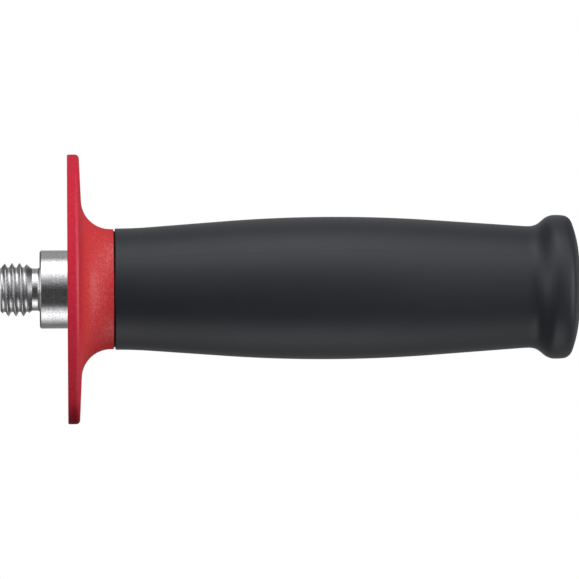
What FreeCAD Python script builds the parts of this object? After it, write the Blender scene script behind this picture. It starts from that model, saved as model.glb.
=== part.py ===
import FreeCAD, Part
import math
import os
import Sketcher

# Side handle of a large angle grinder, lying along +X: the threaded stud screws
# into the machine on the left, and the hand holds the grip on the right.
# The origin is the middle of the collar's flat seat, which meets the machine.

os.makedirs("parts", exist_ok=True)
doc = FreeCAD.newDocument("SideHandle")

# Driving sizes, in millimetres
drivingSizes = {
    # Steel stud: M14 thread, undercut, collar and the shank moulded into the guard
    "studReach": 10.4,
    "threadDiameter": 14.0,
    "tipChamfer": 1.3,
    "runoutLength": 1.3,
    "undercutWidth": 2.0,
    "undercutDiameter": 11.2,
    "undercutRounding": 0.6,
    "collarDiameter": 20.7,
    "collarHeight": 7.34,
    "collarChamfer": 0.4,
    "collarSunk": 1.5,
    "shankDiameter": 12.0,
    "shankLength": 32.0,
    "anchorAcrossCorners": 17.0,
    "anchorLength": 7.0,
    "anchorInset": 3.0,
    # Guard: thin tapered disc, flared hub and the spigot that carries the grip
    "guardDiameter": 71.34,
    "guardRimThickness": 3.12,
    "guardRootThickness": 4.0,
    "guardFrontRounding": 0.4,
    "guardBackRounding": 0.8,
    "flareRadius": 7.7,
    "hubDiameter": 31.8,
    "hubLength": 12.16,
    "spigotDiameter": 23.0,
    "spigotTipDiameter": 21.0,
    "spigotLength": 62.0,
    "spigotTipChamfer": 2.0,
    "ribCount": 6,
    "ribWidth": 3.5,
    "ribHeight": 1.6,
    "ribEndInset": 8.0,
    # Seam between the hub and the grip
    "seamWidth": 0.3,
    "seamDepth": 1.2,
    "seamChamfer": 0.2,
    # Grip: barrel, neck and knob; each length runs on from the one before it
    "gripStartDiameter": 32.1,
    "riseLength": 5.2,
    "riseRadius": 115.0,
    "crownLead": 51.3,
    "crownCornerDiameter": 39.7,
    "crownRadius": 378.0,
    "barrelFall": 52.7,
    "neckDiameter": 32.32,
    "neckFrontRadius": 20.0,
    "neckLength": 2.7,
    "neckBackRadius": 4.5,
    "knobFlankLength": 3.45,
    "knobFrontRadius": 4.3,
    "knobDiameter": 38.18,
    "knobCrestLength": 2.85,
    "knobCrestRadius": 9.6,
    "knobBackLength": 2.6,
    "knobBackDiameter": 37.6,
    "knobBackRadius": 2.6,
    "knobEndLength": 2.3,
    "endCrownDiameter": 24.6,
    "endCrownRadius": 26.0,
}

sheet = doc.addObject("Spreadsheet::Sheet", "Sizes")
for row, (alias, number) in enumerate(drivingSizes.items(), start=1):
    sheet.set(f"A{row}", alias)
    sheet.set(f"B{row}", str(number))
    sheet.setAlias(f"B{row}", alias)
doc.recompute()


class Measure:
    # A length worked out from the sheet: its number now, and the formula that keeps it bound
    def __init__(self, number, formula):
        self.number = number
        self.formula = formula

    def __add__(self, other):
        return Measure(self.number + other.number, f"{self.formula} + {other.formula}")

    def __sub__(self, other):
        return Measure(self.number - other.number, f"{self.formula} - ({other.formula})")

    def __neg__(self):
        return Measure(-self.number, f"-({self.formula})")

    def half(self):
        return Measure(self.number / 2, f"({self.formula}) / 2")


def size(alias):
    return Measure(float(sheet.get(alias)), f"Sizes.{alias}")


def originPlane(body, role):
    return next(plane for plane in body.Origin.OriginFeatures if plane.Role == role)


def attachSketch(body, name, planeRole):
    sketch = body.newObject("Sketcher::SketchObject", name)
    sketch.AttachmentSupport = [(originPlane(body, planeRole), "")]
    sketch.MapMode = "FlatFace"
    return sketch


def bindDistance(sketch, kind, geometry, end, measure):
    # kind is DistanceX or DistanceY, from the sketch's origin; no measure means on the axis
    if measure is None:
        axis = -2 if kind == "DistanceX" else -1
        sketch.addConstraint(Sketcher.Constraint("PointOnObject", geometry, end, axis))
        return
    index = sketch.addConstraint(
        Sketcher.Constraint(kind, -1, 1, geometry, end, measure.number)
    )
    sketch.setExpression(f"Constraints[{index}]", measure.formula)


def roundedCorner(before, corner, after, radius):
    # The arc of this radius that touches both sides of a corner, with its two touching points
    back = (before - corner).normalize()
    ahead = (after - corner).normalize()
    halfAngle = back.getAngle(ahead) / 2
    reach = radius / math.tan(halfAngle)
    bisector = (back + ahead).normalize()
    centre = corner + bisector * (radius / math.sin(halfAngle))
    start, end = corner + back * reach, corner + ahead * reach
    middle = centre - bisector * radius
    return start, end, Part.Arc(start, middle, end)


def drawOutline(sketch, corners):
    # A closed outline through corners of (along, out) or (along, out, rounding)
    spots = [
        FreeCAD.Vector(
            0 if corner[0] is None else corner[0].number,
            0 if corner[1] is None else corner[1].number,
            0,
        )
        for corner in corners
    ]
    count = len(corners)
    starts, ends, arcs = list(spots), list(spots), [None] * count
    for i, corner in enumerate(corners):
        if len(corner) == 3:
            starts[i], ends[i], arcs[i] = roundedCorner(
                spots[i - 1], spots[i], spots[(i + 1) % count], corner[2].number
            )
    sides = [
        sketch.addGeometry(Part.LineSegment(ends[i], starts[(i + 1) % count]), False)
        for i in range(count)
    ]
    for i, corner in enumerate(corners):
        before, after = sides[i - 1], sides[i]
        if arcs[i] is None:
            sketch.addConstraint(Sketcher.Constraint("Coincident", before, 2, after, 1))
            bindDistance(sketch, "DistanceX", after, 1, corner[0])
            bindDistance(sketch, "DistanceY", after, 1, corner[1])
            continue
        arc = sketch.addGeometry(arcs[i], False)
        runsForward = sketch.getPoint(arc, 1).distanceToPoint(starts[i]) < 1e-6
        first, last = (1, 2) if runsForward else (2, 1)
        sketch.addConstraint(Sketcher.Constraint("Tangent", before, 2, arc, first))
        sketch.addConstraint(Sketcher.Constraint("Tangent", arc, last, after, 1))
        index = sketch.addConstraint(
            Sketcher.Constraint("Radius", arc, corner[2].number)
        )
        sketch.setExpression(f"Constraints[{index}]", corner[2].formula)
        point = sketch.addGeometry(Part.Point(spots[i]), True)
        sketch.addConstraint(Sketcher.Constraint("PointOnObject", point, 1, before))
        sketch.addConstraint(Sketcher.Constraint("PointOnObject", point, 1, after))
        bindDistance(sketch, "DistanceX", point, 1, corner[0])
        bindDistance(sketch, "DistanceY", point, 1, corner[1])


def turnedBody(label, corners):
    # A body turned about the handle's axis from an outline of its upper half
    body = doc.addObject("PartDesign::Body", f"{label}_body")
    outline = attachSketch(body, f"{label}_outline", "XZ_Plane")
    drawOutline(outline, corners)
    turned = body.newObject("PartDesign::Revolution", f"{label}_turned")
    turned.Profile = outline
    turned.ReferenceAxis = (outline, ["H_Axis"])
    turned.Angle = 360
    doc.recompute()
    return body, outline


# Places along the axis that more than one piece uses
guardFace = size("collarHeight")
hubEnd = guardFace + size("hubLength")
shankEnd = guardFace + size("collarSunk") + size("shankLength")


def makeThreadedStud():
    thread = size("threadDiameter").half()
    collar = size("collarDiameter").half()
    undercut = size("undercutDiameter").half()
    shank = size("shankDiameter").half()
    reach = size("studReach")
    collarEnd = guardFace + size("collarSunk")
    undercutStart = -size("undercutWidth")
    body, _ = turnedBody("threaded_stud", [
        (-reach, None),
        (-reach, thread - size("tipChamfer")),
        (size("tipChamfer") - reach, thread),
        (undercutStart - size("runoutLength"), thread),
        (undercutStart, undercut),
        (None, undercut, size("undercutRounding")),
        (None, collar - size("collarChamfer")),
        (size("collarChamfer"), collar),
        (collarEnd, collar),
        (collarEnd, shank),
        (shankEnd, shank),
        (shankEnd, None),
    ])
    # A hexagonal anchor near the shank's end keeps the stud from turning or pulling out
    anchor = body.newObject("PartDesign::AdditivePrism", "threaded_stud_anchor")
    anchor.AttachmentSupport = [(originPlane(body, "YZ_Plane"), "")]
    anchor.MapMode = "FlatFace"
    anchor.Polygon = 6
    anchor.setExpression("Circumradius", size("anchorAcrossCorners").half().formula)
    anchor.setExpression("Height", size("anchorLength").formula)
    anchorStart = shankEnd - size("anchorInset") - size("anchorLength")
    anchor.setExpression(".AttachmentOffset.Base.z", anchorStart.formula)
    doc.recompute()
    body.Label = "threaded_stud"
    return body


def makeGuardMoulding():
    guard = size("guardDiameter").half()
    hub = size("hubDiameter").half()
    spigot = size("spigotDiameter").half()
    spigotTip = size("spigotTipDiameter").half()
    spigotEnd = hubEnd + size("spigotLength")
    seamChamfer = size("seamChamfer")
    tipChamfer = size("spigotTipChamfer")
    body, outline = turnedBody("guard_moulding", [
        (guardFace, None),
        (guardFace, guard, size("guardFrontRounding")),
        (guardFace + size("guardRimThickness"), guard, size("guardBackRounding")),
        (guardFace + size("guardRootThickness"), hub, size("flareRadius")),
        (hubEnd - seamChamfer, hub),
        (hubEnd, hub - seamChamfer),
        (hubEnd, spigot),
        (spigotEnd - tipChamfer, spigotTip),
        (spigotEnd, spigotTip - tipChamfer),
        (spigotEnd, None),
    ])
    # Ribs along the spigot key the grip against turning
    ribSketch = attachSketch(body, "guard_moulding_rib_outline", "XZ_Plane")
    ribEnd = spigotEnd - size("ribEndInset")
    ribTop = spigot + size("ribHeight")
    ribFoot = spigotTip - size("ribHeight")
    drawOutline(ribSketch, [
        (hubEnd, ribFoot),
        (hubEnd, ribTop),
        (ribEnd, ribTop),
        (ribEnd, ribFoot),
    ])
    rib = body.newObject("PartDesign::Pad", "guard_moulding_rib")
    rib.Profile = ribSketch
    rib.SideType = "Symmetric"
    rib.setExpression("Length", size("ribWidth").formula)
    doc.recompute()
    ribs = body.newObject("PartDesign::PolarPattern", "guard_moulding_ribs")
    ribs.Originals = [rib]
    ribs.Axis = (outline, ["H_Axis"])
    ribs.Angle = 360
    ribs.setExpression("Occurrences", size("ribCount").formula)
    body.Tip = ribs
    doc.recompute()
    body.Label = "guard_moulding"
    return body


def makeGripOutline():
    start = size("gripStartDiameter").half()
    neck = size("neckDiameter").half()
    knob = size("knobDiameter").half()
    seamEnd = hubEnd + size("seamWidth")
    seamFloor = start - size("seamDepth")
    rise = hubEnd + size("riseLength")
    crown = rise + size("crownLead")
    neckStart = crown + size("barrelFall")
    neckEnd = neckStart + size("neckLength")
    knobFront = neckEnd + size("knobFlankLength")
    knobCrestEnd = knobFront + size("knobCrestLength")
    knobBack = knobCrestEnd + size("knobBackLength")
    gripEnd = knobBack + size("knobEndLength")
    body, _ = turnedBody("grip_outline", [
        (hubEnd, None),
        (hubEnd, seamFloor),
        (seamEnd, seamFloor),
        (seamEnd, start - size("seamChamfer")),
        (seamEnd + size("seamChamfer"), start),
        (rise, start, size("riseRadius")),
        (crown, size("crownCornerDiameter").half(), size("crownRadius")),
        (neckStart, neck, size("neckFrontRadius")),
        (neckEnd, neck, size("neckBackRadius")),
        (knobFront, knob, size("knobFrontRadius")),
        (knobCrestEnd, knob, size("knobCrestRadius")),
        (knobBack, size("knobBackDiameter").half(), size("knobBackRadius")),
        (gripEnd, size("endCrownDiameter").half(), size("endCrownRadius")),
        (gripEnd, None),
    ])
    body.Label = "grip_solid"
    return body


def mouldedRound(label, outer, insert):
    # What is moulded round an insert takes the insert's exact form on its inside
    moulding = doc.addObject("Part::Cut", label)
    moulding.Base = outer
    moulding.Tool = insert
    moulding.Label = label
    doc.recompute()
    if moulding.Shape.Volume >= outer.Shape.Volume:
        raise RuntimeError(f"{label} has no room for its insert")
    return moulding


stud = makeThreadedStud()
guardMoulding = makeGuardMoulding()
gripSolid = makeGripOutline()
guard = mouldedRound("guard_flange", guardMoulding, stud)
grip = mouldedRound("grip", gripSolid, guardMoulding)

doc.recompute()
for item in doc.Objects:
    if "Invalid" in item.State or "Error" in item.State:
        raise RuntimeError(f"{item.Label} failed: {item.State}")

for piece in (stud, guard, grip):
    shape = piece.Shape
    if shape.isNull() or not shape.isValid() or len(shape.Solids) != 1:
        raise RuntimeError(f"{piece.Label} is not one valid solid")
    shape.exportStep(f"parts/{piece.Label}.step")
    print(piece.Label, round(shape.Volume, 1), "mm3")
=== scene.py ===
import bmesh
import bpy
from math import atan2, ceil, cos, hypot, pi, radians, sin, tan
from mathutils import Matrix, Vector


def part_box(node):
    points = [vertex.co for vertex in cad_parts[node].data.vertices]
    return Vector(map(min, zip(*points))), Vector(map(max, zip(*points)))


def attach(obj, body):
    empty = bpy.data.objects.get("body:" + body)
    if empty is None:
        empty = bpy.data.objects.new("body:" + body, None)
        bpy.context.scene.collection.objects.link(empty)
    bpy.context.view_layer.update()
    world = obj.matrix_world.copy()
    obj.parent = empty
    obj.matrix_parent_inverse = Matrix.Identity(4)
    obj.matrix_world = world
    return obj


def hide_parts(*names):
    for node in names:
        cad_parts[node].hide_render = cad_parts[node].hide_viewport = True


# Side handle of a large angle grinder, seen from the side: stud on the left, knob on the right
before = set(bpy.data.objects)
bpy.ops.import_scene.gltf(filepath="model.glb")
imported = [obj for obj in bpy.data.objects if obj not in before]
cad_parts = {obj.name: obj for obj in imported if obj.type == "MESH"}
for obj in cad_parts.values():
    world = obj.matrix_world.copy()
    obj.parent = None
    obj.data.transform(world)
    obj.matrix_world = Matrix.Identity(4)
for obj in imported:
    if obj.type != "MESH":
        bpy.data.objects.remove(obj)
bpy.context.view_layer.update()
mm = 0.001
axisLine = Vector((1, 0, 0))
print("frame loaded:", ", ".join(sorted(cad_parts)))

shaping = {
    "turnSteps": 240,  # steps in a full turn, a multiple of the anchor's six sides
    "arcTurn": radians(6),  # longest step of a rounded corner, as a turn
    "arcChord": 1.5 * mm,  # and as a length
    "arcLeastSteps": 3,
    "mergeReach": 0.0005 * mm,
    "ringReach": 0.01 * mm,  # how near to a ring a vertex counts as on it
    "sharpTurn": radians(28),  # edges that fold more than this are shaded crisp
}


def lineTo(bm, pen, place):
    # Draws on from the last point of an outline
    point = bmesh.ops.extrude_vert_indiv(bm, verts=[pen])["verts"][0]
    point.co = place
    return point


def drawOutline(bm, corners):
    # An open outline above the axis, through corners of (along, out) or (along, out, rounding)
    spots = [Vector((corner[0], 0, corner[1])) for corner in corners]
    pen = bm.verts.new(spots[0])
    for i in range(1, len(corners)):
        if len(corners[i]) == 2:
            pen = lineTo(bm, pen, spots[i])
            continue
        rounding = corners[i][2]
        back = (spots[i - 1] - spots[i]).normalized()
        ahead = (spots[i + 1] - spots[i]).normalized()
        half = back.angle(ahead) / 2
        turn = pi - 2 * half
        pen = lineTo(bm, pen, spots[i] + back * rounding / tan(half))
        byTurn = ceil(turn / shaping["arcTurn"])
        byChord = ceil(turn * rounding / shaping["arcChord"])
        steps = max(shaping["arcLeastSteps"], byTurn, byChord)
        swept = bmesh.ops.spin(
            bm, geom=[pen], cent=spots[i] + (back + ahead).normalized() * rounding / sin(half),
            axis=ahead.cross(back), angle=turn, steps=steps,
        )
        pen = swept["geom_last"][0]


def closeUp(bm):
    # Merges the seam and the poles, then turns all faces outwards
    bmesh.ops.remove_doubles(bm, verts=bm.verts[:], dist=shaping["mergeReach"])
    bmesh.ops.dissolve_degenerate(bm, edges=bm.edges[:], dist=shaping["mergeReach"])
    bmesh.ops.recalc_face_normals(bm, faces=bm.faces[:])


def turnRound(bm):
    bmesh.ops.spin(
        bm, geom=bm.verts[:] + bm.edges[:], cent=(0, 0, 0), axis=axisLine,
        angle=2 * pi, steps=shaping["turnSteps"], use_merge=True,
    )
    closeUp(bm)


def outOf(vert):
    # A vertex's distance from the axis
    return hypot(vert.co.y, vert.co.z)


def setOut(vert, out):
    scale = out / outOf(vert)
    vert.co.y *= scale
    vert.co.z *= scale


def meshObject(bm, name, material):
    mesh = bpy.data.meshes.new(name)
    bm.to_mesh(mesh)
    bm.free()
    mesh.materials.append(material)
    return bpy.data.objects.new(name, mesh)


def finishPiece(bm, name, material, node):
    for face in bm.faces:
        face.smooth = True
    for edge in bm.edges:
        edge.smooth = edge.calc_face_angle(0) < shaping["sharpTurn"]
    openEdges = sum(not edge.is_manifold for edge in bm.edges)
    triangles = len(bm.calc_loop_triangles())
    piece = meshObject(bm, name, material)
    bpy.context.scene.collection.objects.link(piece)
    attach(piece, "root")
    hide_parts(node)
    print(f"{name}: {triangles} triangles, {openEdges} open edges")
    return piece


# Sizes that the pieces share, read from the frame where it has them
studLow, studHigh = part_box("threaded_stud")
guardLow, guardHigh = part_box("guard_flange")
gripLow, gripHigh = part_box("grip")
shared = {
    "guardFace": guardLow.x,
    "hubEnd": gripLow.x,
    "spigotEnd": guardHigh.x,
    "collarOut": studHigh.z,
    "collarEnd": guardLow.x + 1.5 * mm,
    "shankOut": 6 * mm,
    "shankEnd": studHigh.x,
    "anchorStart": studHigh.x - 10 * mm,
    "anchorEnd": studHigh.x - 3 * mm,
    "anchorOut": 8.5 * mm,
    "anchorSides": 6,
    "spigotOut": 11.5 * mm,
    "spigotTipOut": 10.5 * mm,
    "spigotTipChamfer": 2 * mm,
    "ribEnd": guardHigh.x - 8 * mm,
    "ribOut": 13.1 * mm,
    "ribHalfWidth": 1.75 * mm,
    "ribCount": 6,
    "spigotReach": 0.1 * mm,  # how far inside the spigot's surface a face's middle may lie
    "seamChamfer": 0.12 * mm,
}


def shankOutline():
    # From the collar's sunk end to the axis at the shank's end; the guard is moulded round it
    return [
        (shared["collarEnd"], shared["collarOut"]),
        (shared["collarEnd"], shared["shankOut"]),
        (shared["anchorStart"], shared["shankOut"]),
        (shared["anchorStart"], shared["anchorOut"]),
        (shared["anchorEnd"], shared["anchorOut"]),
        (shared["anchorEnd"], shared["shankOut"]),
        (shared["shankEnd"], shared["shankOut"]),
        (shared["shankEnd"], 0),
    ]


def squeezeAnchor(bm):
    # The round anchor ring becomes the hexagon that keeps the stud from turning
    side = 2 * pi / shared["anchorSides"]
    flatOut = shared["anchorOut"] * cos(side / 2)
    for vert in bm.verts:
        atCorner = abs(outOf(vert) - shared["anchorOut"]) < shaping["ringReach"]
        if atCorner and vert.co.x > shared["collarEnd"]:
            turn = atan2(vert.co.z, vert.co.y) % side
            setOut(vert, flatOut / cos(turn - side / 2))


def spigotOutline():
    # From the hub's end face to the axis at the spigot's tip; the grip is moulded round it
    return [
        (shared["hubEnd"], shared["spigotOut"]),
        (shared["ribEnd"], spigotOutAt(shared["ribEnd"])),
        (shared["spigotEnd"] - shared["spigotTipChamfer"], shared["spigotTipOut"]),
        (shared["spigotEnd"], shared["spigotTipOut"] - shared["spigotTipChamfer"]),
        (shared["spigotEnd"], 0),
    ]


def spigotOutAt(along):
    taperEnd = shared["spigotEnd"] - shared["spigotTipChamfer"]
    share = (along - shared["hubEnd"]) / (taperEnd - shared["hubEnd"])
    return shared["spigotOut"] + share * (shared["spigotTipOut"] - shared["spigotOut"])


def raiseRibs(bm):
    # Lifts narrow strips of the spigot's surface into ribs with parallel sides
    for index in range(shared["ribCount"]):
        turn = 2 * pi * index / shared["ribCount"]
        outward = Vector((0, -sin(turn), cos(turn)))
        sideways = outward.cross(axisLine)
        strip = []
        for face in bm.faces:
            middle = face.calc_center_median()
            out = hypot(middle.y, middle.z)
            onSpigot = spigotOutAt(middle.x) - shared["spigotReach"] < out < shared["spigotOut"]
            alongRib = shared["hubEnd"] < middle.x < shared["ribEnd"]
            acrossRib = middle.dot(outward) > 0 and abs(middle.dot(sideways)) < shared["ribHalfWidth"]
            if onSpigot and alongRib and acrossRib:
                strip.append(face)
        rim = {edge for face in strip for edge in face.edges}
        lifted = bmesh.ops.extrude_face_region(bm, geom=strip + list(rim))
        for vert in lifted["geom"]:
            if isinstance(vert, bmesh.types.BMVert):
                vert.co += outward * (shared["ribOut"] - vert.co.dot(outward))


# Mould grain that both mouldings use
mouldGrainSizes = {
    "fineDetail": 2,
    "fineRoughness": 0.6,
    "pitShare": 0.5,  # the pits' part in the height, against the fine noise
    "cloudScale": 90,
    "cloudDetail": 3,
    "speckSpread": 0.08,  # how softly a speck's edge fades in
}


def makeMouldGrain():
    # A height for bump, a scatter of light specks and a slow cloud for the colour
    group = bpy.data.node_groups.new("mouldGrain", "ShaderNodeTree")
    for name, way, kind in (
        ("Place", "INPUT", "Vector"), ("Fineness", "INPUT", "Float"), ("Speck Share", "INPUT", "Float"),
        ("Height", "OUTPUT", "Float"), ("Specks", "OUTPUT", "Float"), ("Cloud", "OUTPUT", "Float"),
    ):
        group.interface.new_socket(name, in_out=way, socket_type=f"NodeSocket{kind}")
    given = group.nodes.new("NodeGroupInput")
    result = group.nodes.new("NodeGroupOutput")
    fine = group.nodes.new("ShaderNodeTexNoise")
    fine.inputs["Detail"].default_value = mouldGrainSizes["fineDetail"]
    fine.inputs["Roughness"].default_value = mouldGrainSizes["fineRoughness"]
    pits = group.nodes.new("ShaderNodeTexVoronoi")
    pits.feature = "SMOOTH_F1"
    cloud = group.nodes.new("ShaderNodeTexNoise")
    cloud.inputs["Scale"].default_value = mouldGrainSizes["cloudScale"]
    cloud.inputs["Detail"].default_value = mouldGrainSizes["cloudDetail"]
    mixed = group.nodes.new("ShaderNodeMath")
    mixed.operation = "MULTIPLY_ADD"
    mixed.inputs[1].default_value = mouldGrainSizes["pitShare"]
    above = group.nodes.new("ShaderNodeMath")
    above.operation = "SUBTRACT"
    above.inputs[0].default_value = 1
    specks = group.nodes.new("ShaderNodeMapRange")
    spread = group.nodes.new("ShaderNodeMath")
    spread.operation = "ADD"
    spread.inputs[1].default_value = mouldGrainSizes["speckSpread"]
    link = group.links.new
    for texture in (fine, pits, cloud):
        link(given.outputs["Place"], texture.inputs["Vector"])
    for texture in (fine, pits):
        link(given.outputs["Fineness"], texture.inputs["Scale"])
    link(pits.outputs["Distance"], mixed.inputs[0])
    link(fine.outputs["Fac"], mixed.inputs[2])
    link(mixed.outputs[0], result.inputs["Height"])
    link(given.outputs["Speck Share"], above.inputs[1])
    link(fine.outputs["Fac"], specks.inputs["Value"])
    link(above.outputs[0], specks.inputs["From Min"])
    link(above.outputs[0], spread.inputs[0])
    link(spread.outputs[0], specks.inputs["From Max"])
    link(specks.outputs["Result"], result.inputs["Specks"])
    link(cloud.outputs["Fac"], result.inputs["Cloud"])
    return group


mouldGrain = makeMouldGrain()


def startMaterial(name):
    material = bpy.data.materials.new(name)
    material.use_nodes = True
    nodes, link = material.node_tree.nodes, material.node_tree.links.new
    shader = nodes["Principled BSDF"]
    place = nodes.new("ShaderNodeTexCoord").outputs["Object"]
    return material, nodes, link, shader, place


def rangeIn(nodes, link, value, span, toLow, toHigh):
    # Maps a value from one range to another, held at both ends
    node = nodes.new("ShaderNodeMapRange")
    for name, number in zip(("From Min", "From Max", "To Min", "To Max"), (*span, toLow, toHigh)):
        node.inputs[name].default_value = number
    link(value, node.inputs["Value"])
    return node.outputs["Result"]


def mixIn(nodes, link, factor, first, second):
    # Each colour is an output to link or a triple
    node = nodes.new("ShaderNodeMix")
    node.data_type = "RGBA"
    link(factor, node.inputs["Factor"])
    for name, colour in (("A", first), ("B", second)):
        if isinstance(colour, tuple):
            node.inputs[name].default_value = (*colour, 1)
        else:
            link(colour, node.inputs[name])
    return node.outputs["Result"]


def noiseIn(nodes, link, place, scale, detail):
    noise = nodes.new("ShaderNodeTexNoise")
    noise.inputs["Scale"].default_value = scale
    noise.inputs["Detail"].default_value = detail
    link(place, noise.inputs["Vector"])
    return noise.outputs["Fac"]


def mathIn(nodes, link, operation, *operands):
    # Each operand is an output to link or a number
    node = nodes.new("ShaderNodeMath")
    node.operation = operation
    for index, operand in enumerate(operands):
        if isinstance(operand, (int, float)):
            node.inputs[index].default_value = operand
        else:
            link(operand, node.inputs[index])
    return node.outputs[0]


def splitAlong(nodes, link, place):
    # How far along the handle a place is
    split = nodes.new("ShaderNodeSeparateXYZ")
    link(place, split.inputs[0])
    return split.outputs["X"]


def grainIn(nodes, link, place, fineness, speckAndGlintShare):
    grain = nodes.new("ShaderNodeGroup")
    grain.node_tree = mouldGrain
    link(place, grain.inputs["Place"])
    grain.inputs["Fineness"].default_value = fineness
    grain.inputs["Speck Share"].default_value = speckAndGlintShare
    return grain


def bumpIn(nodes, link, shader, height, depth):
    bump = nodes.new("ShaderNodeBump")
    bump.inputs["Strength"].default_value = 1
    bump.inputs["Distance"].default_value = depth
    link(height, bump.inputs["Height"])
    link(bump.outputs["Normal"], shader.inputs["Normal"])


# Stud: zinc-plated steel turning with an M14 x 2 right-hand thread
stud = {
    "threadOut": 7 * mm,
    "pitch": 2 * mm,
    "threadDepth": 1.1 * mm,
    "flankTurn": radians(30),
    "crestFlat": 0.22 * mm,
    "cornerEase": 0.05 * mm,  # how far the thread's corners are eased
    "topCrest": -7.285 * mm,  # where one crest passes the top
    "teeth": 8,
    "teethBefore": 3,  # teeth to the left of that crest
    "tipChamfer": 1.3 * mm,
    "runoutLength": 1.94 * mm,
    "undercutWidth": 2 * mm,
    "undercutOut": 5.6 * mm,
    "undercutRounding": 0.6 * mm,
    "collarChamfer": 0.4 * mm,
    "colour": (0.64, 0.64, 0.65),
    "shade": (0.4, 0.4, 0.415),
    "toneRange": (0.52, 0.86),  # the speckle's range from shade to colour
    "roughness": (0.07, 0.17),
    "threadRoughness": 0.26,
    "roughRange": (0.35, 0.65),
    "turnMark": 0.09 * mm,
    "turnMarkShare": 0.4,  # the turning marks' part in the tone, against the speckle
    "turnMarkLay": 40,  # how slowly a mark changes round the axis
    "noiseDetail": 2,
    "speckleScale": 2500,
    "speckleDepth": 0.0022 * mm,
    "maskFade": 0.1 * mm,
    "longEdge": 0.4 * mm,  # thread edges longer than this are cut finer
    "longCuts": 5,
    "leastOut": 1 * mm,
    "joinGap": 0.2 * mm,  # between the thread's end and the turned part's first ring
}


def wrapThread(bm):
    # A toothed line above the axis, carried once round while it moves on by a pitch
    flank = stud["threadDepth"] * tan(stud["flankTurn"])
    top = stud["threadOut"]
    root = top - stud["threadDepth"]
    firstCrest = stud["topCrest"] - stud["teethBefore"] * stud["pitch"]
    pen = bm.verts.new((firstCrest - stud["pitch"] / 2, 0, root))
    toothCorners = []
    for tooth in range(stud["teeth"]):
        crest = firstCrest + tooth * stud["pitch"]
        half = stud["crestFlat"] / 2
        for along, out in ((-half - flank, root), (-half, top), (half, top), (half + flank, root)):
            pen = lineTo(bm, pen, Vector((crest + along, 0, out)))
            toothCorners.append(pen)
        pen = lineTo(bm, pen, Vector((crest + stud["pitch"] / 2, 0, root)))
    bmesh.ops.bevel(
        bm, geom=toothCorners, offset=stud["cornerEase"], offset_type="OFFSET",
        affect="VERTICES", segments=2, profile=0.5, material=-1,
    )
    longEdges = [edge for edge in bm.edges if edge.calc_length() > stud["longEdge"]]
    bmesh.ops.subdivide_edges(bm, edges=longEdges, cuts=stud["longCuts"])
    steps = shaping["turnSteps"]
    bmesh.ops.spin(
        bm, geom=bm.verts[:] + bm.edges[:], cent=(0, 0, 0), axis=axisLine,
        dvec=axisLine * stud["pitch"] / steps, angle=2 * pi, steps=steps,
    )
    bmesh.ops.remove_doubles(bm, verts=bm.verts[:], dist=shaping["mergeReach"])


def trimThread(bm, tip, runoutEnd):
    # Chamfers the thread at the tip, fades it out at the undercut and cuts both ends off square
    runoutRise = (stud["threadOut"] - stud["undercutOut"]) / stud["runoutLength"]
    for vert in bm.verts:
        chamferOut = stud["threadOut"] - stud["tipChamfer"] + vert.co.x - tip
        runoutOut = stud["undercutOut"] + (runoutEnd - vert.co.x) * runoutRise
        setOut(vert, max(min(outOf(vert), chamferOut, runoutOut), stud["leastOut"]))
    for along, outward in ((tip, -axisLine), (runoutEnd, axisLine)):
        bmesh.ops.bisect_plane(
            bm, geom=bm.verts[:] + bm.edges[:] + bm.faces[:], dist=shaping["mergeReach"],
            plane_co=(along, 0, 0), plane_no=outward, clear_outer=True,
        )
    bmesh.ops.dissolve_degenerate(bm, edges=bm.edges[:], dist=shaping["mergeReach"])


def ringNear(bm, along):
    # The open edges of the ring at this place
    return [
        edge for edge in bm.edges
        if edge.is_boundary and all(abs(vert.co.x - along) < shaping["ringReach"] for vert in edge.verts)
    ]


def makeZincMaterial():
    material, nodes, link, shader, place = startMaterial("zincPlate")
    lay = nodes.new("ShaderNodeMapping")  # squeezes the noise into fine rings round the axis
    lay.inputs["Scale"].default_value = (1 / stud["turnMark"], stud["turnMarkLay"], stud["turnMarkLay"])
    link(place, lay.inputs["Vector"])
    rings = noiseIn(nodes, link, lay.outputs[0], 1, stud["noiseDetail"])
    speckle = noiseIn(nodes, link, place, stud["speckleScale"], stud["noiseDetail"])
    both = mathIn(nodes, link, "MULTIPLY_ADD", rings, stud["turnMarkShare"], speckle)
    tone = rangeIn(nodes, link, both, stud["toneRange"], 0, 1)
    link(mixIn(nodes, link, tone, stud["shade"], stud["colour"]), shader.inputs["Base Color"])
    rough = rangeIn(nodes, link, speckle, stud["roughRange"], *stud["roughness"])
    undercut = -stud["undercutWidth"]
    fade = (undercut - stud["maskFade"], undercut + stud["maskFade"])
    onThread = rangeIn(nodes, link, splitAlong(nodes, link, place), fade, stud["threadRoughness"], 0)
    link(mathIn(nodes, link, "MAXIMUM", rough, onThread), shader.inputs["Roughness"])
    shader.inputs["Metallic"].default_value = 1
    bumpIn(nodes, link, shader, speckle, stud["speckleDepth"])
    return material


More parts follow.
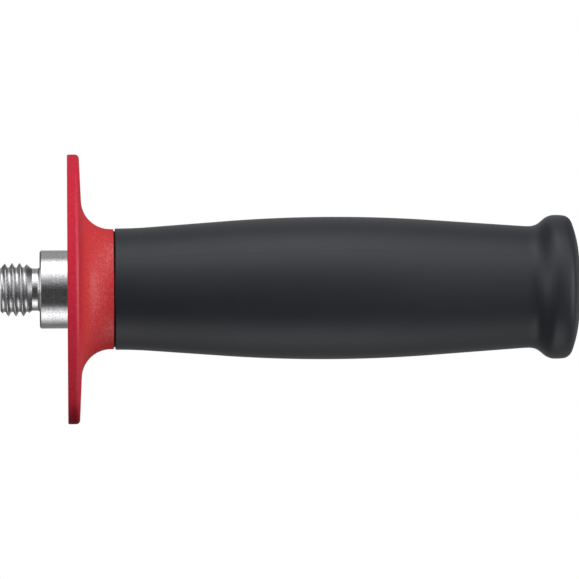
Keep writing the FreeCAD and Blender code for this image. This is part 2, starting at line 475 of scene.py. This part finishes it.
def makeStud():
    bm = bmesh.new()
    tip = studLow.x
    runoutEnd = -stud["undercutWidth"]
    wrapThread(bm)
    trimThread(bm, tip, runoutEnd)
    bmesh.ops.edgeloop_fill(bm, edges=ringNear(bm, tip))
    turned = bmesh.new()
    joinAt = runoutEnd + stud["joinGap"]
    drawOutline(turned, [
        (joinAt, stud["undercutOut"]),
        (0, stud["undercutOut"], stud["undercutRounding"]),
        (0, shared["collarOut"] - stud["collarChamfer"]),
        (stud["collarChamfer"], shared["collarOut"]),
    ] + shankOutline())
    turnRound(turned)
    squeezeAnchor(turned)
    turnedMesh = bpy.data.meshes.new("turnedPart")
    turned.to_mesh(turnedMesh)
    turned.free()
    bm.from_mesh(turnedMesh)
    bpy.data.meshes.remove(turnedMesh)
    bmesh.ops.bridge_loops(bm, edges=ringNear(bm, runoutEnd) + ringNear(bm, joinAt))
    bmesh.ops.recalc_face_normals(bm, faces=bm.faces[:])
    finishPiece(bm, "zincStud", makeZincMaterial(), "threaded_stud")


makeStud()


# Guard: red moulding with a thin tapered disc, a flared hub and the spigot inside the grip
guard = {
    "rimThickness": 3.12 * mm,
    "rootThickness": 4 * mm,
    "frontRounding": 0.4 * mm,
    "backRounding": 1.1 * mm,
    "flareRounding": 7.7 * mm,
    "hubOut": 15.9 * mm,
    "rimColour": (0.5, 0.017, 0.041),
    # The hub's red is paler and more orange than the rim's, partly as a painted sheen of its highlight
    "hubRedWithSheen": (0.55, 0.034, 0.042),
    "paleColour": (0.9, 0.3, 0.25),
    "paleShare": 0.05,  # how far the mottling lightens the red towards it
    "speckAndGlintShare": 0.06,  # and the hub's pale specks, partly grain and partly painted glints
    "mottleScale": 1100,
    "mottleDetail": 3,
    "mottleRange": (0.3, 0.7),
    "grainFineness": 2300,
    "grainSpecks": 0.5,
    "grainDepth": 0.07 * mm,
    "roughness": 0.6,
    "gloss": 0.03,
    "coat": 0.55,
    "coatRoughness": 0.3,
    "coatFacing": (0.3, 0.65),  # the coat fades out over this range of slant
    "coatGrain": (0.45, 1.55),
    "coatGrainRange": (0.6, 0.85),
    "cornerGloss": 3.4,  # against the hub's, on the rim's back corner
    "hubFade": (-0.2 * mm, 1.4 * mm),  # from the rim's back, where the hub's finish comes in
    "cornerRise": (-1.1 * mm, -0.6 * mm),  # and where the corner's gloss rises
    "cornerFall": (0, 0.6 * mm),  # and falls
}


def makeRedMaterial():
    material, nodes, link, shader, place = startMaterial("redMoulding")
    along = splitAlong(nodes, link, place)
    rimEnd = shared["guardFace"] + guard["rimThickness"]

    def fromRim(span, toLow, toHigh):
        return rangeIn(nodes, link, along, (rimEnd + span[0], rimEnd + span[1]), toLow, toHigh)

    def times(first, second):
        return mathIn(nodes, link, "MULTIPLY", first, second)

    # The rim is smoother and deeper red than the hub; the hub's paler, more orange red and its pale specks
    # are partly its own grain and partly a painted sheen and painted glints
    onHub = fromRim(guard["hubFade"], 0, 1)
    grain = grainIn(nodes, link, place, guard["grainFineness"], guard["grainSpecks"])
    mottle = noiseIn(nodes, link, place, guard["mottleScale"], guard["mottleDetail"])
    pale = rangeIn(nodes, link, mottle, guard["mottleRange"], 0, guard["paleShare"])
    hubSpecksAndGlints = times(grain.outputs["Specks"], onHub)
    mottleSpecksAndGlints = mathIn(nodes, link, "MULTIPLY_ADD", hubSpecksAndGlints, guard["speckAndGlintShare"], pale)
    red = mixIn(nodes, link, onHub, guard["rimColour"], guard["hubRedWithSheen"])
    link(mixIn(nodes, link, mottleSpecksAndGlints, red, guard["paleColour"]), shader.inputs["Base Color"])
    shader.inputs["Roughness"].default_value = guard["roughness"]
    shader.inputs["Specular IOR Level"].default_value = guard["gloss"]

    # Gloss on the hub and the rim's back corner, fading where the grain is seen at a low angle
    rise = fromRim(guard["cornerRise"], 0, guard["cornerGloss"])
    fall = fromRim(guard["cornerFall"], guard["cornerGloss"], 1)
    glossy = mathIn(nodes, link, "MINIMUM", rise, fall)
    slant = nodes.new("ShaderNodeLayerWeight").outputs["Facing"]
    facing = rangeIn(nodes, link, slant, guard["coatFacing"], guard["coat"], 0)
    hubGrain = times(grain.outputs["Height"], onHub)
    grainy = rangeIn(nodes, link, hubGrain, guard["coatGrainRange"], *guard["coatGrain"])
    link(times(times(glossy, facing), grainy), shader.inputs["Coat Weight"])
    shader.inputs["Coat Roughness"].default_value = guard["coatRoughness"]
    bumpIn(nodes, link, shader, hubGrain, guard["grainDepth"])
    return material


def makeGuard():
    bm = bmesh.new()
    face = shared["guardFace"]
    rimOut = guardHigh.z
    hubOut = guard["hubOut"]
    bore = shankOutline()[::-1]
    drawOutline(bm, bore + [
        (face, shared["collarOut"]),
        (face, rimOut, guard["frontRounding"]),
        (face + guard["rimThickness"], rimOut, guard["backRounding"]),
        (face + guard["rootThickness"], hubOut, guard["flareRounding"]),
        (shared["hubEnd"] - shared["seamChamfer"], hubOut),
        (shared["hubEnd"], hubOut - shared["seamChamfer"]),
    ] + spigotOutline())
    turnRound(bm)
    squeezeAnchor(bm)
    raiseRibs(bm)
    bmesh.ops.recalc_face_normals(bm, faces=bm.faces[:])
    moulding = finishPiece(bm, "guardMoulding", makeRedMaterial(), "guard_flange")
    moulding.visible_glossy = False  # the photo's plating mirrors next to no red


makeGuard()


# Grip: black moulding; each length runs on from the one before it
grip = {
    "startOut": 16.05 * mm,
    "seamWidth": 0.42 * mm,
    "seamDepth": 0.5 * mm,
    "seamVee": 0.3 * mm,  # the groove's floor is a small vee, which keeps it dark
    "riseLength": 5.2 * mm,
    "riseRounding": 115 * mm,
    "crownLead": 51.3 * mm,
    "crownOut": 19.85 * mm,
    "crownRounding": 378 * mm,
    "barrelFall": 52.7 * mm,
    "neckOut": 16.16 * mm,
    "neckFrontRounding": 20 * mm,
    "neckLength": 2.7 * mm,
    "neckBackRounding": 4.5 * mm,
    "knobFlank": 3.45 * mm,
    "knobFrontRounding": 4.3 * mm,
    "knobCrest": 2.85 * mm,
    "knobCrestRounding": 9.6 * mm,
    "knobBack": 2.6 * mm,
    "knobBackOut": 18.8 * mm,
    "knobBackRounding": 2.6 * mm,
    "endCrownOut": 12.3 * mm,
    "endCrownRounding": 26 * mm,
    "partingTurn": radians(58.5),  # from straight up towards the viewer, on a step of the turn
    "partingHalfWidth": 0.09 * mm,
    "partingHeight": 0.02 * mm,
    "colour": (0.0128, 0.0152, 0.0198),
    "paleColour": (0.0168, 0.0195, 0.0248),
    "gloss": 0.3,
    "grainFineness": 3400,
    "grainSpecks": 0.34,
    "grainDepth": 0.012 * mm,
    "roughness": (0.34, 0.42),
    "roughRange": (0.4, 0.9),
    "partingStop": 1 * mm,  # the parting line ends this far short of the crowned end
}


def raisePartingLine(bm):
    # The fine witness line where the two halves of the grip's mould met
    turn = grip["partingTurn"]
    across = Vector((0, cos(turn), sin(turn)))
    for offset in (-grip["partingHalfWidth"], grip["partingHalfWidth"]):
        bmesh.ops.bisect_plane(
            bm, geom=bm.verts[:] + bm.edges[:] + bm.faces[:], dist=shaping["mergeReach"],
            plane_co=across * offset, plane_no=across,
        )
    bm.normal_update()
    seamFloor = grip["startOut"] - grip["seamDepth"]
    lineEnd = gripHigh.x - grip["partingStop"]
    for vert in bm.verts:
        outside = outOf(vert) > seamFloor and vert.co.x < lineEnd
        if outside and abs(vert.co.dot(across)) < shaping["mergeReach"]:
            vert.co += vert.normal * grip["partingHeight"]


def makeRubberMaterial():
    material, nodes, link, shader, place = startMaterial("blackSoftTouch")
    grain = grainIn(nodes, link, place, grip["grainFineness"], grip["grainSpecks"])
    colour = mixIn(nodes, link, grain.outputs["Cloud"], grip["colour"], grip["paleColour"])
    link(colour, shader.inputs["Base Color"])
    rough = rangeIn(nodes, link, grain.outputs["Height"], grip["roughRange"], *grip["roughness"])
    link(rough, shader.inputs["Roughness"])
    shader.inputs["Specular IOR Level"].default_value = grip["gloss"]
    bumpIn(nodes, link, shader, grain.outputs["Height"], grip["grainDepth"])
    return material


def makeGrip():
    bm = bmesh.new()
    hubEnd = shared["hubEnd"]
    chamfer = shared["seamChamfer"]
    startOut = grip["startOut"]
    seamEnd = hubEnd + grip["seamWidth"]
    rise = hubEnd + grip["riseLength"]
    crown = rise + grip["crownLead"]
    neckStart = crown + grip["barrelFall"]
    neckEnd = neckStart + grip["neckLength"]
    knobFront = neckEnd + grip["knobFlank"]
    knobCrestEnd = knobFront + grip["knobCrest"]
    knobBack = knobCrestEnd + grip["knobBack"]
    knobOut = gripHigh.z
    seamFloor = startOut - grip["seamDepth"]
    drawOutline(bm, spigotOutline()[::-1] + [
        (hubEnd, seamFloor),
        (hubEnd + grip["seamWidth"] / 2, seamFloor - grip["seamVee"]),
        (seamEnd, seamFloor),
        (seamEnd, startOut - chamfer),
        (seamEnd + chamfer, startOut),
        (rise, startOut, grip["riseRounding"]),
        (crown, grip["crownOut"], grip["crownRounding"]),
        (neckStart, grip["neckOut"], grip["neckFrontRounding"]),
        (neckEnd, grip["neckOut"], grip["neckBackRounding"]),
        (knobFront, knobOut, grip["knobFrontRounding"]),
        (knobCrestEnd, knobOut, grip["knobCrestRounding"]),
        (knobBack, grip["knobBackOut"], grip["knobBackRounding"]),
        (gripHigh.x, grip["endCrownOut"], grip["endCrownRounding"]),
        (gripHigh.x, 0),
    ])
    turnRound(bm)
    raiseRibs(bm)
    raisePartingLine(bm)
    bmesh.ops.recalc_face_normals(bm, faces=bm.faces[:])
    finishPiece(bm, "gripMoulding", makeRubberMaterial(), "grip")


makeGrip()


# Camera and studio; places are in metres from the handle's own origin
studio = {
    "cameraPlace": Vector((0.008, -1.4, 0)),
    "cameraAim": Vector((0.0661, 0, -0.00034)),
    "lens": 328.8,
    "sensor": 36,
    "roll": radians(0.31),  # the knob stands slightly high in the picture
    "middle": Vector((0.066, 0, 0)),
    "domeReach": 1,
    "domeCuts": 5,
    "floorDrop": 1.05,
    "floorRadius": 4,
    "floorSegments": 96,
    "floorColour": (0.8, 0.8, 0.8),
    "floorRoughness": 0.9,
    "ambient": 0.3,
    "brightest": 3,
    # The dome's glow: degrees round the handle's line, 0 at the viewer's side and
    # 90 overhead, and how bright
    "middleGlow": [
        (-180, 0.5), (-150, 0.28), (-125, 0.28), (-107, 0.8), (-93, 1.6), (-78, 1.95),
        (-60, 0.9), (-50, 0.2), (-40, 0.1), (0, 0.08), (12, 0.2), (30, 0.76), (42, 1.52),
        (55, 2.5), (84, 2.5), (93, 1.4), (105, 0.52), (125, 0.52), (150, 0.42), (180, 0.5),
    ],
    "rightGlow": [
        (-180, 0.25), (-145, 0.3), (-100, 0.35), (-80, 0.4), (-60, 0.35), (-45, 0.35),
        (-22, 0.65), (-5, 1), (20, 1.45), (45, 1.65), (68, 1.3), (85, 0.6), (100, 0.2), (180, 0.25),
    ],
    "leftGlow": [
        (-180, 0.1), (-105, 0.2), (-60, 0.12), (-25, 0.2), (0, 0.75), (15, 1.1), (45, 1.7),
        (75, 1.3), (105, 0.2), (180, 0.1),
    ],
    # Angles from the handle's line over which the middle glow gives way to a side's,
    # and the left side's to the left end's
    "sideEdge": (radians(82), radians(70)),
    "leftEndEdge": (radians(35), radians(20)),
    "leftEndGlow": [
        (-180, 0.7), (-110, 0.4), (-51, 0.45), (-35, 0.7), (-18, 1.5), (0, 2.8), (20, 3),
        (51, 1.6), (107, 0.9), (180, 0.7),
    ],
    "keyPlace": Vector((0.88, -0.34, -0.09)),  # a warm softbox off the knob's end, a little to the front
    "keySize": (0.66, 0.75),
    "keyGlow": 1.66,
    "keyColour": (1, 0.94, 0.85),
    "flagDrop": 1.6 * mm,  # a dark card close under the guard, which darkens its lowest parts
    "flagInset": 0.2 * mm,
    "flagWidth": 12 * mm,
    "flagReach": 20 * mm,
    "flagColour": (0.02, 0.02, 0.02),
}


def makeCamera():
    data = bpy.data.cameras.new("camera")
    data.lens = studio["lens"]
    data.sensor_width = studio["sensor"]
    camera = bpy.data.objects.new("camera", data)
    bpy.context.scene.collection.objects.link(camera)
    look = studio["cameraAim"] - studio["cameraPlace"]
    turn = look.to_track_quat("-Z", "Y").to_matrix().to_4x4()
    roll = Matrix.Rotation(-studio["roll"], 4, "Z")
    camera.matrix_world = Matrix.Translation(studio["cameraPlace"]) @ turn @ roll
    bpy.context.scene.camera = camera


def glowRamp(nodes, glows):
    ramp = nodes.new("ShaderNodeValToRGB")
    stops = ramp.color_ramp.elements
    for index, (angle, glow) in enumerate(glows):
        share = (angle + 180) / 360
        if index == 0:
            stop = stops[0]
        elif index == len(glows) - 1:
            stop = stops[-1]
        else:
            stop = stops.new(share)
        grey = glow / studio["brightest"]
        stop.position = share
        stop.color = (grey, grey, grey, 1)
    return ramp


def makeDomeMaterial():
    # Soft panels and dark flags round the handle, as smooth bands of glow
    material = bpy.data.materials.new("softDome")
    material.use_nodes = True
    nodes, link = material.node_tree.nodes, material.node_tree.links.new
    nodes.clear()
    split = nodes.new("ShaderNodeSeparateXYZ")
    link(nodes.new("ShaderNodeTexCoord").outputs["Object"], split.inputs[0])
    forward = mathIn(nodes, link, "MULTIPLY", split.outputs["Y"], -1)
    turn = mathIn(nodes, link, "ARCTAN2", split.outputs["Z"], forward)
    share = rangeIn(nodes, link, turn, (-pi, pi), 0, 1)
    ramps = [glowRamp(nodes, studio[key]) for key in ("middleGlow", "rightGlow", "leftGlow", "leftEndGlow")]
    for ramp in ramps:
        link(share, ramp.inputs["Fac"])
    glow = ramps[0].outputs["Color"]
    edges = (("sideEdge", 1), ("sideEdge", -1), ("leftEndEdge", -1))
    for (key, side), ramp in zip(edges, ramps[1:]):
        near, far = (side * cos(angle) * studio["domeReach"] for angle in studio[key])
        mask = rangeIn(nodes, link, split.outputs["X"], (near, far), 0, 1)
        mask.node.interpolation_type = "SMOOTHSTEP"
        glow = mixIn(nodes, link, mask, glow, ramp.outputs["Color"])
    emission = nodes.new("ShaderNodeEmission")
    emission.inputs["Strength"].default_value = studio["brightest"]
    link(glow, emission.inputs["Color"])
    link(emission.outputs[0], nodes.new("ShaderNodeOutputMaterial").inputs["Surface"])
    return material


def addToStage(item):
    bpy.context.scene.collection.objects.link(item)


def makeDome():
    bm = bmesh.new()
    bmesh.ops.create_icosphere(bm, subdivisions=studio["domeCuts"], radius=studio["domeReach"])
    dome = meshObject(bm, "softDome", makeDomeMaterial())
    dome.location = studio["middle"]
    dome.visible_camera = False
    addToStage(dome)


def makeKey():
    data = bpy.data.lights.new("keySoftbox", "AREA")
    data.shape = "RECTANGLE"
    data.size, data.size_y = studio["keySize"]
    data.color = studio["keyColour"]
    data.energy = studio["keyGlow"] * pi * data.size * data.size_y
    key = bpy.data.objects.new("keySoftbox", data)
    aim = (studio["middle"] - studio["keyPlace"]).to_track_quat("-Z", "Y").to_matrix().to_4x4()
    key.matrix_world = Matrix.Translation(studio["keyPlace"]) @ aim
    bpy.context.scene.collection.objects.link(key)


def makeFlag():
    across = guardLow.x + studio["flagInset"] + studio["flagWidth"] / 2
    bm = bmesh.new()
    bmesh.ops.create_grid(bm, x_segments=1, y_segments=1, size=0.5)
    bmesh.ops.scale(bm, verts=bm.verts[:], vec=(studio["flagWidth"], 2 * studio["flagReach"], 1))
    bmesh.ops.translate(bm, verts=bm.verts[:], vec=(across, 0, guardLow.z - studio["flagDrop"]))
    material, _, _, shader, _ = startMaterial("darkFlag")
    shader.inputs["Base Color"].default_value = (*studio["flagColour"], 1)
    shader.inputs["Roughness"].default_value = 1
    flag = meshObject(bm, "darkFlag", material)
    flag.visible_camera = False
    flag.visible_glossy = False
    addToStage(flag)


def makeFloor():
    bm = bmesh.new()
    bmesh.ops.create_circle(
        bm, cap_ends=True, segments=studio["floorSegments"], radius=studio["floorRadius"],
    )
    drop = Vector((0, 0, -studio["floorDrop"]))
    bmesh.ops.translate(bm, verts=bm.verts[:], vec=studio["middle"] + drop)
    material, nodes, link, shader, _ = startMaterial("paleFloor")
    shader.inputs["Base Color"].default_value = (*studio["floorColour"], 1)
    shader.inputs["Roughness"].default_value = studio["floorRoughness"]
    shader.inputs["Specular IOR Level"].default_value = 0
    shader.inputs["Emission Color"].default_value = (1, 1, 1, 1)
    path = nodes.new("ShaderNodeLightPath")
    link(path.outputs["Is Camera Ray"], shader.inputs["Emission Strength"])
    addToStage(meshObject(bm, "floor", material))


def makeWorld():
    # White where the camera or a reflection sees it, a dimmer grey as light
    world = bpy.data.worlds.new("studioWhite")
    bpy.context.scene.world = world
    world.use_nodes = True
    nodes, link = world.node_tree.nodes, world.node_tree.links.new
    nodes.clear()
    path = nodes.new("ShaderNodeLightPath")
    seen = path.outputs["Is Camera Ray"]
    for ray in ("Is Glossy Ray", "Is Transmission Ray"):
        seen = mathIn(nodes, link, "MAXIMUM", seen, path.outputs[ray])
    soft, white = nodes.new("ShaderNodeBackground"), nodes.new("ShaderNodeBackground")
    soft.inputs["Color"].default_value = (1, 1, 1, 1)
    soft.inputs["Strength"].default_value = studio["ambient"]
    white.inputs["Color"].default_value = (1, 1, 1, 1)
    mix, output = nodes.new("ShaderNodeMixShader"), nodes.new("ShaderNodeOutputWorld")
    link(seen, mix.inputs["Fac"])
    link(soft.outputs[0], mix.inputs[1])
    link(white.outputs[0], mix.inputs[2])
    link(mix.outputs[0], output.inputs["Surface"])


makeCamera()
makeDome()
makeKey()
makeFlag()
makeFloor()
makeWorld()
bpy.context.scene.view_settings.view_transform = "Standard"
print("studio ready")
